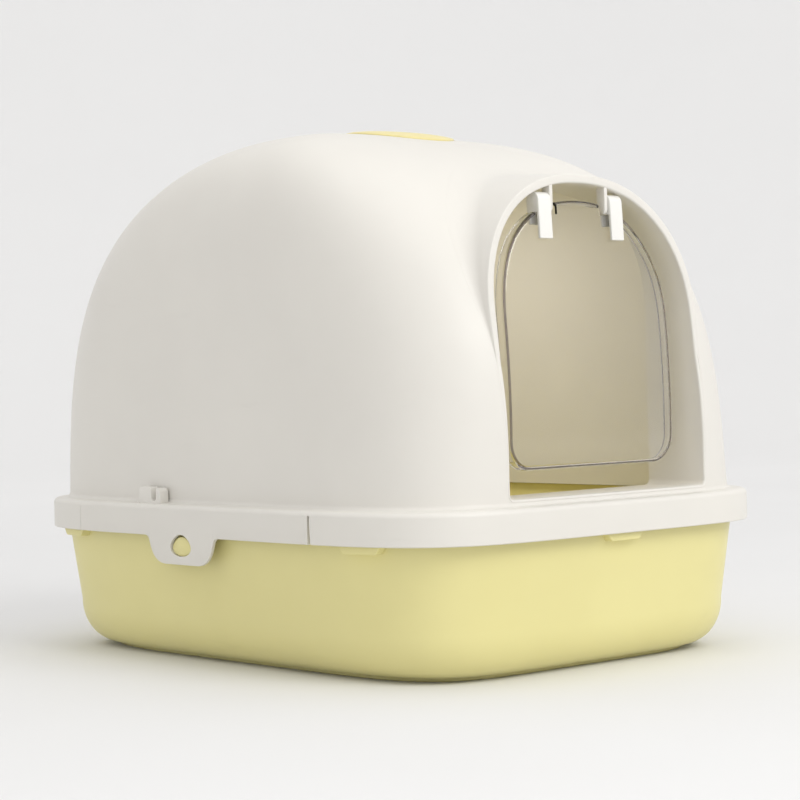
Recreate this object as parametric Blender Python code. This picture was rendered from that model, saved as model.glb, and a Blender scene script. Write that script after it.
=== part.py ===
"""Hooded cat litter box: a deep tray, a domed hood with a leaning arched doorway, a clear
swinging door on two clips, two side latches and a filter cover on top.

Metres, +Z up. The front, with the doorway, faces -Y. The origin is on the floor, under the middle
of the box. Nearly every level of the box is the same kind of outline, a soft-cornered rectangle.
"""
import math

import bmesh
import bpy
from mathutils import Matrix, Vector

# ---- overall size ----
HALF_WIDTH = 0.1875
HALF_LENGTH = 0.250
SKIRT_BOTTOM = 0.095
LEDGE_TOP = 0.118
DOME_TOP = 0.3910
RING_POINTS = 64

# ---- squareness of the outlines: 2 is an ellipse, larger numbers have tighter corners ----
SKIRT_POWER = 5.25
FOOT_POWER = 5.85

# ---- hood ----
HOOD_WALL = 0.0024
SKIRT_WALL = 0.0025
LEDGE_EDGE_RADIUS = 0.004
DOME_HALF_WIDTH = 0.1740
DOME_FRONT = 0.2390
DOME_BACK = 0.2355
DOME_CENTRE_Y = -0.015
DOME_DRAFT = 0.02
FRONT_SWELL = 0.05
FRONT_FOOT_POWER = 5.25
BACK_FOOT_POWER = 6.2
DOME_TOP_POWER = 3.4
DOME_LEVELS = 15

# ---- tray ----
TRAY_WALL = 0.0026
TRAY_RIM_TOP = 0.1146
TRAY_FLOOR = 0.004
FOOT_HEIGHT = 0.003
FOOT_INSET = 0.043
BEND_TOP = 0.037
BEND_INSET = 0.0185
RIM_INSET = 0.0045
UPPER_INSET = 0.0080
SIDE_PAD_Y = 0.1725
SIDE_PAD_TURN = math.radians(10)

# ---- doorway and tunnel ----
SILL_Z = 0.123
ARCH_HALF_WIDTH = 0.0985
ARCH_SPRING_Z = 0.245
ARCH_RISE = 0.095
ARCH_POWER = 2.27
FACE_Y = -0.2373
FACE_LEAN = 0.026
FACE_CURVE = 0.40
TUNNEL_BACK_Y = -0.182
PORCH_BACK_Y = -0.158
LIP = 0.0065

# ---- door, hung from two clips ----
PIVOT = Vector((0.0, -0.2085, 0.3225))
DOOR_LEAN = math.radians(3.2)
DOOR_BOW = 0.0040
DOOR_HALF_WIDTH = 0.0825
DOOR_BOTTOM = -0.1820
DOOR_SPRING = -0.0800
DOOR_RISE = 0.0855
DOOR_POWER = 2.27
DOOR_CORNER = 0.020
DOOR_FRONT = -0.0032
DOOR_RIM_DEPTH = 0.0090
PANEL_THICKNESS = 0.0024
CLIP_WIDTH = 0.0125
CLIP_CENTRE_X = 0.0362
CLIP_RADIUS = 0.0060
CLIP_GAP = 0.0072
CLIP_HEAD = 0.0032
CLIP_FRONT_LEG = 0.0225
CLIP_REAR_LEG = 0.0120
PIN_RADIUS = 0.0020

# ---- side latches ----
LATCH_FRONT_Y = -0.1288
LATCH_BACK_Y = 0.1500
LATCH_TOP = 0.1134
TAB_CENTRE_Y = 0.0162
TAB_HALF_FLAT = 0.024
TAB_HALF_FOOT = 0.045
TAB_BOTTOM = 0.0745
HOLE_CENTRE_Z = 0.0885
HOLE_HALF_LENGTH = 0.0123
HOLE_HALF_HEIGHT = 0.0080

# ---- filter on the top ----
COVER_RADIUS = 0.046
COVER_CENTRE_Y = -0.018
COVER_PROUD = 0.0014
RECESS_DEPTH = 0.0062
PAD_THICKNESS = 0.0040

GAP = 0.0004


# ---------------------------------------------------------------- materials

def plastic(name, colour, roughness, transmission=0.0):
    material = bpy.data.materials.new(name)
    material.use_nodes = True
    shader = material.node_tree.nodes["Principled BSDF"]
    shader.inputs["Base Color"].default_value = (*colour, 1.0)
    shader.inputs["Roughness"].default_value = roughness
    shader.inputs["Metallic"].default_value = 0.0
    shader.inputs["Transmission Weight"].default_value = transmission
    return material


def all_materials():
    return {
        "tray": plastic("Pale Yellow Tray", (0.80, 0.74, 0.42), 0.38),
        "hood": plastic("Warm White Hood", (0.84, 0.82, 0.76), 0.42),
        "latch": plastic("Warm White Latch", (0.84, 0.82, 0.76), 0.42),
        "clip": plastic("Warm White Clip", (0.86, 0.84, 0.79), 0.35),
        "clear": plastic("Clear Door", (0.95, 0.95, 0.94), 0.08, 0.9),
        "cover": plastic("Yellow Cover", (0.82, 0.72, 0.34), 0.38),
        "pad": plastic("Charcoal Filter Pad", (0.03, 0.03, 0.035), 0.95),
    }


# ---------------------------------------------------------------- mesh helpers

def make_object(name, builder, material=None, sharp_angle=30):
    """Turns a bmesh into an object whose faces point outward."""
    bmesh.ops.recalc_face_normals(builder, faces=builder.faces)
    mesh = bpy.data.meshes.new(name)
    builder.to_mesh(mesh)
    builder.free()
    mesh.shade_smooth()
    mesh.set_sharp_from_angle(angle=math.radians(sharp_angle))
    if material:
        mesh.materials.append(material)
    thing = bpy.data.objects.new(name, mesh)
    bpy.context.collection.objects.link(thing)
    return thing


def stitch(builder, levels):
    """Joins rings of vertices, each to the next, with faces."""
    for lower, upper in zip(levels, levels[1:]):
        for i in range(len(lower)):
            j = (i + 1) % len(lower)
            builder.faces.new((lower[i], lower[j], upper[j], upper[i]))


def loft(rings):
    """A closed solid through a list of rings with equal numbers of points, flat at both ends."""
    builder = bmesh.new()
    levels = [[builder.verts.new(point) for point in ring] for ring in rings]
    stitch(builder, levels)
    builder.faces.new(list(reversed(levels[0])))
    builder.faces.new(levels[-1])
    return builder


def cap_with_strips(builder, ring):
    """Closes a ring that mirrors itself in X with level strips, which follow a bowed outline."""
    count = len(ring)
    for i in range(count // 2):
        corners = [ring[i], ring[i + 1], ring[count - 2 - i], ring[count - 1 - i]]
        builder.faces.new(list(dict.fromkeys(corners)))


def mirrored_loft(rings):
    """A closed solid through rings that mirror themselves in X and needn't be flat."""
    builder = bmesh.new()
    levels = [[builder.verts.new(point) for point in ring] for ring in rings]
    stitch(builder, levels)
    cap_with_strips(builder, levels[0])
    cap_with_strips(builder, levels[-1])
    return builder


def join_builders(builders):
    """Several separate closed shapes in one bmesh, for use as one cutter or one addition."""
    whole = bmesh.new()
    for builder in builders:
        mesh = bpy.data.meshes.new("Scratch")
        bmesh.ops.recalc_face_normals(builder, faces=builder.faces)
        builder.to_mesh(mesh)
        builder.free()
        whole.from_mesh(mesh)
        bpy.data.meshes.remove(mesh)
    return whole


def helper_object(name, builder):
    thing = make_object(name, builder)
    thing.hide_render = True
    thing.display_type = "WIRE"
    return thing


def combine(target, operation, name, builder):
    """Adds a Boolean modifier on target, with its own hidden helper object."""
    modifier = target.modifiers.new(name, "BOOLEAN")
    modifier.operation = operation
    modifier.solver = "EXACT"
    modifier.object = helper_object(name, builder)
    return modifier


def box(x0, x1, y0, y1, z0, z1):
    corners = [(x0, y0), (x1, y0), (x1, y1), (x0, y1)]
    return loft([[(x, y, z) for x, y in corners] for z in (z0, z1)])


def cylinder_x(x0, x1, y, z, radius, sides=16):
    """A round bar along X."""
    turns = [2 * math.pi * (i + 0.5) / sides for i in range(sides)]
    section = [(y + radius * math.cos(t), z + radius * math.sin(t)) for t in turns]
    return loft([[(x, a, b) for a, b in section] for x in (x0, x1)])


# ---------------------------------------------------------------- outlines

def soft_rectangle(half_x, front, back, power, z, centre_y=0.0, front_power=None):
    """A level ring of the box; front and back are its reaches from centre_y along Y.

    Its points crowd into the corners, where the outline bends. The front half can have a
    power of its own.
    """
    ring = []
    for i in range(RING_POINTS):
        angle = 2 * math.pi * (i + 0.5) / RING_POINTS
        c = math.cos(angle)
        s = math.sin(angle)
        here = front_power if front_power and s < 0 else power
        x = math.copysign(half_x * abs(c) ** (2 / here), c)
        y = math.copysign((front if s < 0 else back) * abs(s) ** (2 / here), s)
        ring.append(Vector((x, centre_y + y, z)))
    return ring


def box_ring(inset, z, power=SKIRT_POWER):
    """A ring parallel to the skirt's outer outline."""
    return soft_rectangle(HALF_WIDTH - inset, HALF_LENGTH - inset, HALF_LENGTH - inset, power, z)


def skirt_x(y):
    """How far out the skirt's outer face is, at a place along its side."""
    return HALF_WIDTH * (1 - abs(y / HALF_LENGTH) ** SKIRT_POWER) ** (1 / SKIRT_POWER)


def dome_section(height_share, inset=0.0):
    """Half width, reaches to front and back, and powers of the dome's outline at a height.

    A height share of 0 is the dome's foot and 1 its top.
    """
    t = height_share
    rise = (DOME_TOP - inset - LEDGE_TOP) * t
    half_x = (DOME_HALF_WIDTH - inset - DOME_DRAFT * rise) * (1 - t ** 8) ** 0.25
    front_foot = DOME_FRONT + DOME_CENTRE_Y - inset
    front = (front_foot + FRONT_SWELL * rise) * (1 - t ** 2.9) ** 0.59
    back_foot = DOME_BACK - DOME_CENTRE_Y - inset
    back = (back_foot - DOME_DRAFT * rise) * (1 - t ** 3.2) ** 0.57
    front_power = FRONT_FOOT_POWER + (DOME_TOP_POWER - FRONT_FOOT_POWER) * t ** 0.7
    back_power = BACK_FOOT_POWER + (DOME_TOP_POWER - BACK_FOOT_POWER) * t ** 2.5
    return half_x, front, back, front_power, back_power


def dome_ring(height_share, inset=0.0):
    """A level ring of the dome."""
    half_x, front, back, front_power, back_power = dome_section(height_share, inset)
    z = LEDGE_TOP + (DOME_TOP - inset - LEDGE_TOP) * height_share
    return soft_rectangle(half_x, front, back, back_power, z, DOME_CENTRE_Y, front_power)


def dome_levels(count):
    """Height shares, crowding together towards the top, where the dome turns over."""
    return [1 - (1 - i / count) ** 1.9 for i in range(count)] + [0.9995]


def dome_height(x, y):
    """Height of the dome's outer surface above a point near its top."""
    low, high = 0.3, 1.0
    for _ in range(40):
        t = (low + high) / 2
        half_x, front, back, front_power, back_power = dome_section(t)
        away = y - DOME_CENTRE_Y
        reach = front if away < 0 else back
        power = front_power if away < 0 else back_power
        if abs(x / half_x) ** power + abs(away / reach) ** power < 1:
            low = t
        else:
            high = t
    return LEDGE_TOP + (DOME_TOP - LEDGE_TOP) * low


def arch(half, rise, spring, power, steps):
    """Points of a tall arch from its right springing over to its left one."""
    points = []
    for i in range(2 * steps + 1):
        angle = math.pi * i / (2 * steps)
        c = math.cos(angle)
        s = math.sin(angle)
        radius = (abs(c / half) ** power + abs(s / rise) ** power) ** (-1 / power)
        points.append((radius * c, spring + radius * s))
    return points


def doorway_ring(grow, y_of_z, steps=9):
    """The doorway's outline, grown by a margin: a flat sill, straight sides and a tall arch."""
    half = ARCH_HALF_WIDTH + grow
    rise = ARCH_RISE + grow
    corner = 0.006 + grow
    floor = SILL_Z - grow
    outline = []
    for i in range(4):
        angle = math.radians(-90 + 30 * i)
        across = half - corner + corner * math.cos(angle)
        outline.append((across, floor + corner + corner * math.sin(angle)))
    outline += arch(half, rise, ARCH_SPRING_Z, ARCH_POWER, steps)
    outline += [(-x, z) for x, z in outline[3::-1]]
    return [Vector((x, y_of_z(z), z)) for x, z in outline]


def face_y(z):
    """The leaning front face of the porch, curving back a little more towards its top."""
    up = z - SILL_Z
    return FACE_Y + FACE_LEAN * up + FACE_CURVE * up ** 2


# ---------------------------------------------------------------- tray

def bend_inset(z):
    """Inset of the tray's outer face where the wall turns in to the base."""
    drop = (BEND_TOP - z) / (BEND_TOP - FOOT_HEIGHT)
    return BEND_INSET + (FOOT_INSET - 0.002 - BEND_INSET) * (1 - math.sqrt(1 - drop ** 2))


def tray_power(z):
    """The corners get a little squarer towards the base."""
    return FOOT_POWER + (SKIRT_POWER - FOOT_POWER) * min(1.0, z / SKIRT_BOTTOM)


def tray_rings():
    outer = [(0.0, FOOT_INSET + 0.0012), (FOOT_HEIGHT, FOOT_INSET)]
    for share in (1.0, 0.985, 0.93, 0.82, 0.66, 0.46, 0.24):
        z = BEND_TOP - share * (BEND_TOP - FOOT_HEIGHT)
        outer.append((z, bend_inset(z)))
    outer.append((BEND_TOP, BEND_INSET))
    outer += [(0.1105, UPPER_INSET), (0.1105, RIM_INSET), (TRAY_RIM_TOP, RIM_INSET)]
    inner = [(TRAY_RIM_TOP, UPPER_INSET + TRAY_WALL), (BEND_TOP, BEND_INSET + TRAY_WALL)]
    for share in (0.3, 0.6, 0.82, 0.95, 1.0):
        z = BEND_TOP - share * (BEND_TOP - FOOT_HEIGHT)
        inner.append((z + share * (TRAY_FLOOR - FOOT_HEIGHT), bend_inset(z) + TRAY_WALL))
    return [box_ring(inset, z, tray_power(z)) for z, inset in outer + inner]


def rest_pad(centre, along, outward):
    """A raised trapezoid on the tray's wall, just showing below the skirt."""
    sections = []
    for depth in (-0.0125, -0.0072):
        corners = [(-0.0135, 0.091), (0.0135, 0.091), (0.0185, 0.0955), (0.0185, 0.104),
                   (-0.0185, 0.104), (-0.0185, 0.0955)]
        sections.append([centre + outward * depth + along * a + Vector((0, 0, z))
                         for a, z in corners])
    return loft(sections)


def egg(half_length, half_height, count=20):
    """The latch hole's outline: wide, flat below and drawn up to a soft point above."""
    outline = []
    for i in range(count):
        angle = 2 * math.pi * i / count
        s = math.sin(angle)
        narrowing = 1 - 0.22 * s
        outline.append((half_length * math.cos(angle) * narrowing, half_height * s))
    return outline


def catch(side):
    """The tray's raised catch, which fills the latch hole from behind."""
    outline = egg(HOLE_HALF_LENGTH - 0.0016, HOLE_HALF_HEIGHT - 0.0014)
    reaches = (HALF_WIDTH - 0.0125, HALF_WIDTH - SKIRT_WALL - 0.0006)
    rings = []
    for reach, shrink in zip(reaches, (1.0, 0.96)):
        rings.append([(side * reach, TAB_CENTRE_Y + a * shrink, HOLE_CENTRE_Z - 0.0006 + b * shrink)
                      for a, b in outline])
    return loft(rings)


def make_tray(materials):
    tray = make_object("tray", loft(tray_rings()), materials["tray"])
    extras = []
    for side in (-1, 1):
        for end in (-1, 1):
            turn = Matrix.Rotation(side * end * SIDE_PAD_TURN, 3, "Z")
            centre = Vector((side * skirt_x(SIDE_PAD_Y), end * SIDE_PAD_Y, 0))
            extras.append(rest_pad(centre, turn @ Vector((0, 1, 0)), turn @ Vector((side, 0, 0))))
        middle = Vector((0.004, side * HALF_LENGTH, 0))
        extras.append(rest_pad(middle, Vector((1, 0, 0)), Vector((0, side, 0))))
        extras.append(catch(side))
    combine(tray, "UNION", "Tray Pads And Catches", join_builders(extras))
    return tray


# ---------------------------------------------------------------- hood

def ledge_edge(steps=4):
    """Insets and heights around the ledge's rounded outer edge."""
    radius = LEDGE_EDGE_RADIUS
    profile = []
    for i in range(steps + 1):
        angle = math.pi / 2 * i / steps
        profile.append((radius - radius * math.cos(angle), LEDGE_TOP - radius + radius * math.sin(angle)))
    return profile


def hood_outer():
    rings = [box_ring(0.0, SKIRT_BOTTOM)]
    rings += [box_ring(inset, z) for inset, z in ledge_edge()]
    rings += [dome_ring(t) for t in dome_levels(DOME_LEVELS)]
    return loft(rings)


def hood_cavity():
    """The space under the hood, open at the skirt's foot."""
    rings = [box_ring(SKIRT_WALL, SKIRT_BOTTOM - 0.01), box_ring(SKIRT_WALL, LEDGE_TOP - 0.003)]
    inside = dome_ring(0.0, HOOD_WALL)
    rings.append([Vector((p.x, p.y, LEDGE_TOP - 0.003)) for p in inside])
    rings += [dome_ring(t, HOOD_WALL) for t in dome_levels(DOME_LEVELS - 4)[1:]]
    return loft(rings)


def porch():
    """The collar around the doorway, from the leaning face back into the dome."""
    front = doorway_ring(LIP - 0.0025, face_y)
    shoulder = doorway_ring(LIP, lambda z: face_y(z) + 0.0025)
    back = doorway_ring(LIP, lambda z: PORCH_BACK_Y)
    return mirrored_loft([front, shoulder, back])


def tunnel():
    """The way in, a little wider behind its rounded lip than at it."""
    outside = doorway_ring(0.0, lambda z: face_y(z) - 0.02)
    lip = doorway_ring(0.0, lambda z: face_y(z) + 0.004)
    back = doorway_ring(0.001, lambda z: TUNNEL_BACK_Y - 0.004)
    past = doorway_ring(0.001, lambda z: TUNNEL_BACK_Y + 0.06)
    return mirrored_loft([outside, lip, back, past])


def door_bearing(side):
    """A lug under the tunnel's roof, with the pin that one clip turns on."""
    inner = 0.0262 * side
    outer = 0.0294 * side
    lug = []
    for x in sorted((inner, outer)):
        ring = []
        for i in range(9):
            angle = math.pi + math.pi * i / 8
            ring.append((x, PIVOT.y + 0.004 * math.cos(angle), PIVOT.z + 0.004 * math.sin(angle)))
        top = PIVOT.z + 0.0175
        ring += [(x, PIVOT.y + 0.004, top), (x, PIVOT.y - 0.004, top)]
        lug.append(ring)
    ends = sorted((0.0285 * side, 0.0335 * side))
    return [loft(lug), cylinder_x(*ends, PIVOT.y, PIVOT.z, PIN_RADIUS, 12)]


def scoop_holder():
    """Two posts on the left ledge, with a slot between them for a scoop's handle."""
    posts = []
    for start, end in ((0.0575, 0.0730), (0.0463, 0.0513)):
        rings = []
        for share in (0.0, 0.75, 0.92, 1.0):
            z = LEDGE_TOP - 0.001 + 0.0128 * share
            tuck = 0.0016 if share == 1.0 else (0.0005 if share > 0.8 else 0.0)
            x0 = -HALF_WIDTH + 0.0040 + tuck
            x1 = -HALF_WIDTH + 0.0118
            rings.append([(x0, start + tuck, z), (x1, start + tuck, z),
                          (x1, end - tuck, z), (x0, end - tuck, z)])
        posts.append(loft(rings))
    return posts


def top_disc(radius, low, high, centre_y, bulge=0.0, rings=4, sides=32):
    """A round disc that follows the dome: low and high are heights above the dome's surface."""
    builder = bmesh.new()
    layers = []
    for level in (low, high):
        centre = builder.verts.new((0, centre_y, dome_height(0, centre_y) + level))
        if level == high:
            centre.co.z += bulge
        circles = []
        for ring in range(1, rings + 1):
            share = ring / rings
            circle = []
            for i in range(sides):
                angle = 2 * math.pi * i / sides
                x = radius * share * math.cos(angle)
                y = centre_y + radius * share * math.sin(angle)
                z = dome_height(x, y) + level
                if level == high:
                    z += bulge * (1 - share ** 3)
                circle.append(builder.verts.new((x, y, z)))
            circles.append(circle)
        layers.append((centre, circles))
    for centre, circles in layers:
        for i in range(sides):
            j = (i + 1) % sides
            builder.faces.new((centre, circles[0][i], circles[0][j]))
            for inner, outer in zip(circles, circles[1:]):
                builder.faces.new((inner[i], outer[i], outer[j], inner[j]))
    low_edge = layers[0][1][-1]
    high_edge = layers[1][1][-1]
    for i in range(sides):
        j = (i + 1) % sides
        builder.faces.new((low_edge[i], low_edge[j], high_edge[j], high_edge[i]))
    return builder


def vent_slots():
    """Parallel slots through the recess under the filter pad."""
    slots = []
    for i in range(-3, 4):
        x = 0.0095 * i
        half = math.sqrt(0.036 ** 2 - x ** 2)
        slots.append(box(x - 0.0018, x + 0.0018, COVER_CENTRE_Y - half, COVER_CENTRE_Y + half,
                         DOME_TOP - 0.04, DOME_TOP + 0.01))
    return slots


def latch_cutouts():
    """Where the two latches take the place of the skirt."""
    cutters = []
    for side in (-1, 1):
        ends = sorted((side * (HALF_WIDTH - 0.0090), side * (HALF_WIDTH + 0.01)))
        cutters.append(box(*ends, LATCH_FRONT_Y - 0.0026, LATCH_BACK_Y + 0.0006,
                           SKIRT_BOTTOM - 0.01, LATCH_TOP + 0.0005))
    return cutters


def make_hood(materials):
    hood = make_object("hood", hood_outer(), materials["hood"])
    combine(hood, "UNION", "Porch", porch())
    combine(hood, "DIFFERENCE", "Hood Cavity", hood_cavity())
    wall_front = doorway_ring(0.0038, lambda z: face_y(z) + 0.009)
    wall_back = doorway_ring(0.0038, lambda z: TUNNEL_BACK_Y)
    combine(hood, "UNION", "Tunnel Wall", mirrored_loft([wall_front, wall_back]))
    combine(hood, "DIFFERENCE", "Tunnel", tunnel())
    dish = top_disc(COVER_RADIUS + 0.004, -RECESS_DEPTH - 0.003, -0.001, COVER_CENTRE_Y)
    combine(hood, "UNION", "Filter Dish", dish)
    recess = top_disc(COVER_RADIUS + 0.0006, -RECESS_DEPTH, 0.012, COVER_CENTRE_Y)
    combine(hood, "DIFFERENCE", "Filter Recess", recess)
    combine(hood, "DIFFERENCE", "Vent Slots", join_builders(vent_slots()))
    combine(hood, "DIFFERENCE", "Latch Cutouts", join_builders(latch_cutouts()))
    lugs = door_bearing(-1) + door_bearing(1)
    for i, lug in enumerate(lugs):
        combine(hood, "UNION", "Door Bearing %d" % i, lug)
    combine(hood, "UNION", "Scoop Holder", join_builders(scoop_holder()))
    return hood


# ---------------------------------------------------------------- latches

def tab_bottom(y):
    """Lower edge of the latch: level, with the bell-shaped tab hanging in the middle."""
    away = abs(y - TAB_CENTRE_Y)
    if away >= TAB_HALF_FOOT:
        return SKIRT_BOTTOM
    if away <= TAB_HALF_FLAT:
        return TAB_BOTTOM
    share = (away - TAB_HALF_FLAT) / (TAB_HALF_FOOT - TAB_HALF_FLAT)
    return SKIRT_BOTTOM - (SKIRT_BOTTOM - TAB_BOTTOM) * (0.5 + 0.5 * math.cos(math.pi * share))


def latch_stations():
    stations = [LATCH_FRONT_Y, -0.100, -0.070, -0.045]
    tab = [-TAB_HALF_FOOT + (TAB_HALF_FOOT - TAB_HALF_FLAT) * i / 8 for i in range(9)]
    stations += [TAB_CENTRE_Y + a for a in tab]
    stations += [TAB_CENTRE_Y]
    stations += [TAB_CENTRE_Y - a for a in reversed(tab)]
    return stations + [0.085, 0.110, 0.132, LATCH_BACK_Y]


def latch_body(side):
    """The hinged length of skirt, rounded along its top, where it bends from the ledge."""
    half = SKIRT_WALL / 2
    rings = []
    for y in latch_stations():
        outer = skirt_x(y)
        foot = tab_bottom(y)
        shoulder = LATCH_TOP - half
        section = [(outer, foot), (outer, shoulder)]
        for i in range(1, 4):
            angle = math.pi * i / 4
            section.append((outer - half + half * math.cos(angle), shoulder + half * math.sin(angle)))
        section += [(outer - SKIRT_WALL, shoulder), (outer - SKIRT_WALL, foot)]
        rings.append([(side * x, y, z) for x, z in section])
    return loft(rings)


def latch_hole(side):
    outline = egg(HOLE_HALF_LENGTH, HOLE_HALF_HEIGHT)
    reaches = (HALF_WIDTH - 0.010, HALF_WIDTH + 0.010)
    return loft([[(side * reach, TAB_CENTRE_Y + a, HOLE_CENTRE_Z + b) for a, b in outline]
                 for reach in reaches])


def make_latch(name, side, materials):
    axis = Vector((side * (HALF_WIDTH - SKIRT_WALL / 2), 0.010, LATCH_TOP - SKIRT_WALL / 2))
    body = latch_body(side)
    hole = latch_hole(side)
    bmesh.ops.translate(body, verts=body.verts, vec=-axis)
    latch = make_object(name, body, materials["latch"])
    latch.location = axis
    combine(latch, "DIFFERENCE", name + " Hole", hole)
    return latch


# ---------------------------------------------------------------- door

def bow(z):
    """How far the door's pane curves forward at a height in the frame of its hinge."""
    share = (z - DOOR_BOTTOM) / (-DOOR_BOTTOM - CLIP_FRONT_LEG)
    return 4 * DOOR_BOW * share * (1 - share) if share < 1 else 0.0


def door_ring(inset, y, steps=8):
    """The door's outline, in the frame of its hinge: rounded foot, straight sides, low arch."""
    half = DOOR_HALF_WIDTH - inset
    corner = max(DOOR_CORNER - inset, 0.004)
    foot = DOOR_BOTTOM + inset
    outline = []
    for i in range(6):
        angle = math.radians(-90 + 18 * i)
        across = half - corner + corner * math.cos(angle)
        outline.append((across, foot + corner + corner * math.sin(angle)))
    outline += [(half, foot + (DOOR_SPRING - foot) * share) for share in (0.4, 0.6, 0.8)]
    outline += arch(half, DOOR_RISE - inset, DOOR_SPRING, DOOR_POWER, steps)
    outline += [(-x, z) for x, z in outline[8::-1]]
    return [Vector((x, y - bow(z), z)) for x, z in outline]


def door_body():
    """A shallow clear dish: a bowed pane with a rounded edge that turns back into a rim."""
    inner = PANEL_THICKNESS
    return mirrored_loft([
        door_ring(0.0032, DOOR_FRONT),
        door_ring(0.0009, DOOR_FRONT + 0.0009),
        door_ring(0.0, DOOR_FRONT + 0.0032),
        door_ring(0.0, DOOR_FRONT + DOOR_RIM_DEPTH),
        door_ring(inner, DOOR_FRONT + DOOR_RIM_DEPTH),
        door_ring(inner + 0.0003, DOOR_FRONT + inner + 0.0015),
        door_ring(inner + 0.0020, DOOR_FRONT + inner),
    ])


def clip_section():
    """The clip seen from the side: an arch over the door's edge, closed around its pin."""
    outline = []
    for i in range(13):
        angle = math.pi * i / 12
        outline.append((CLIP_RADIUS * math.cos(angle), CLIP_HEAD + CLIP_RADIUS * math.sin(angle)))
    half_gap = CLIP_GAP / 2
    outline += [(-CLIP_RADIUS, -CLIP_FRONT_LEG), (-half_gap, -CLIP_FRONT_LEG)]
    outline += [(-half_gap, -0.0040), (half_gap, -0.0040)]
    outline += [(half_gap, -CLIP_REAR_LEG), (CLIP_RADIUS, -CLIP_REAR_LEG)]
    return outline


def make_clip(name, side, pivot, materials):
    centre = CLIP_CENTRE_X * side
    section = clip_section()
    body = loft([[(x, y, z) for y, z in section]
                 for x in (centre - CLIP_WIDTH / 2, centre + CLIP_WIDTH / 2)])
    clip = make_object(name, body, materials["clip"])
    clip.parent = pivot
    inner = centre - side * (CLIP_WIDTH / 2 + 0.001)
    deep = centre - side * (CLIP_WIDTH / 2 - 0.0052)
    bore = cylinder_x(*sorted((inner, deep)), 0, 0, PIN_RADIUS + GAP, 12)
    combine(clip, "DIFFERENCE", name + " Bore", bore)
    clip.modifiers[-1].object.parent = pivot
    return clip


def make_door(materials):
    """The door and its clips hang from one empty, which sits on the hinge axis."""
    pivot = bpy.data.objects.new("Door Hinge", None)
    bpy.context.collection.objects.link(pivot)
    pivot.location = PIVOT
    pivot.rotation_euler = (-DOOR_LEAN, 0, 0)
    door = make_object("door_panel", door_body(), materials["clear"])
    door.parent = pivot
    notches = []
    for side in (-1, 1):
        ends = sorted((side * 0.0218, side * (CLIP_CENTRE_X + CLIP_WIDTH / 2 + 0.0005)))
        behind = CLIP_GAP / 2 - 0.0004
        section = [(-0.02, -0.005), (behind, -0.005), (behind, -0.0135), (0.02, -0.0135),
                   (0.02, 0.02), (-0.02, 0.02)]
        notches.append(loft([[(x, y, z) for y, z in section] for x in ends]))
    combine(door, "DIFFERENCE", "Door Notches", join_builders(notches))
    door.modifiers[-1].object.parent = pivot
    make_clip("door_clip_left", -1, pivot, materials)
    make_clip("door_clip_right", 1, pivot, materials)


# ---------------------------------------------------------------- filter

def make_filter(materials):
    low = -RECESS_DEPTH + GAP
    pad = top_disc(COVER_RADIUS - 0.003, low, low + PAD_THICKNESS, COVER_CENTRE_Y, rings=3)
    make_object("filter_pad", pad, materials["pad"])
    bottom = low + PAD_THICKNESS + GAP
    cover = top_disc(COVER_RADIUS, bottom, COVER_PROUD, COVER_CENTRE_Y, bulge=0.0010, rings=5)
    make_object("filter_cover", cover, materials["cover"])


# ---------------------------------------------------------------- the whole box

def main():
    for thing in list(bpy.data.objects):
        bpy.data.objects.remove(thing, do_unlink=True)
    materials = all_materials()
    make_tray(materials)
    make_hood(materials)
    make_latch("latch_left", -1, materials)
    make_latch("latch_right", 1, materials)
    make_door(materials)
    make_filter(materials)


main()
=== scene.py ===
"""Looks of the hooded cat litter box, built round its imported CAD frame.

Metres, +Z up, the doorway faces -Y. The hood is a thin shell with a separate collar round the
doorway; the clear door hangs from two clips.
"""
import math

import bmesh
import bpy
import numpy as np
from mathutils import Matrix, Vector


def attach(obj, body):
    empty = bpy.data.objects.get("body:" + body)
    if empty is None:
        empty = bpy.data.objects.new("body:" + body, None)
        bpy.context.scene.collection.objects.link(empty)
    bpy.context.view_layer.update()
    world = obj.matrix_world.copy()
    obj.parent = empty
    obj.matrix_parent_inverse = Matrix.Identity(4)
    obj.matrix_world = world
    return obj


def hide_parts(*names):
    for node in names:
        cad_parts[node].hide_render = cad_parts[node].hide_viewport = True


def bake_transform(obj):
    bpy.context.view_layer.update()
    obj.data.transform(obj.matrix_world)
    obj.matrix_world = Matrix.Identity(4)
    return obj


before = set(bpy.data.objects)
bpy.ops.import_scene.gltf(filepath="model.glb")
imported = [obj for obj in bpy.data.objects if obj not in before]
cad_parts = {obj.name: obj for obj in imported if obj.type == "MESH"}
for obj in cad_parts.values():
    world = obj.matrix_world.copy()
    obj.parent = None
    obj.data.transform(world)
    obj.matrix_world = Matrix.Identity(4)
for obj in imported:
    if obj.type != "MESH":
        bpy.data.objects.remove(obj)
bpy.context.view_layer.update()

# ---- overall size ----
HALF_WIDTH = 0.1875
HALF_LENGTH = 0.250
SKIRT_BOTTOM = 0.095
LEDGE_TOP = 0.118
DOME_TOP = 0.3910
RING_POINTS = 264
FIT_GAP = 0.0004

# ---- squareness of the outlines: 2 is an ellipse, larger numbers have tighter corners ----
SKIRT_POWER = 5.25
FOOT_POWER = 5.85

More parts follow.
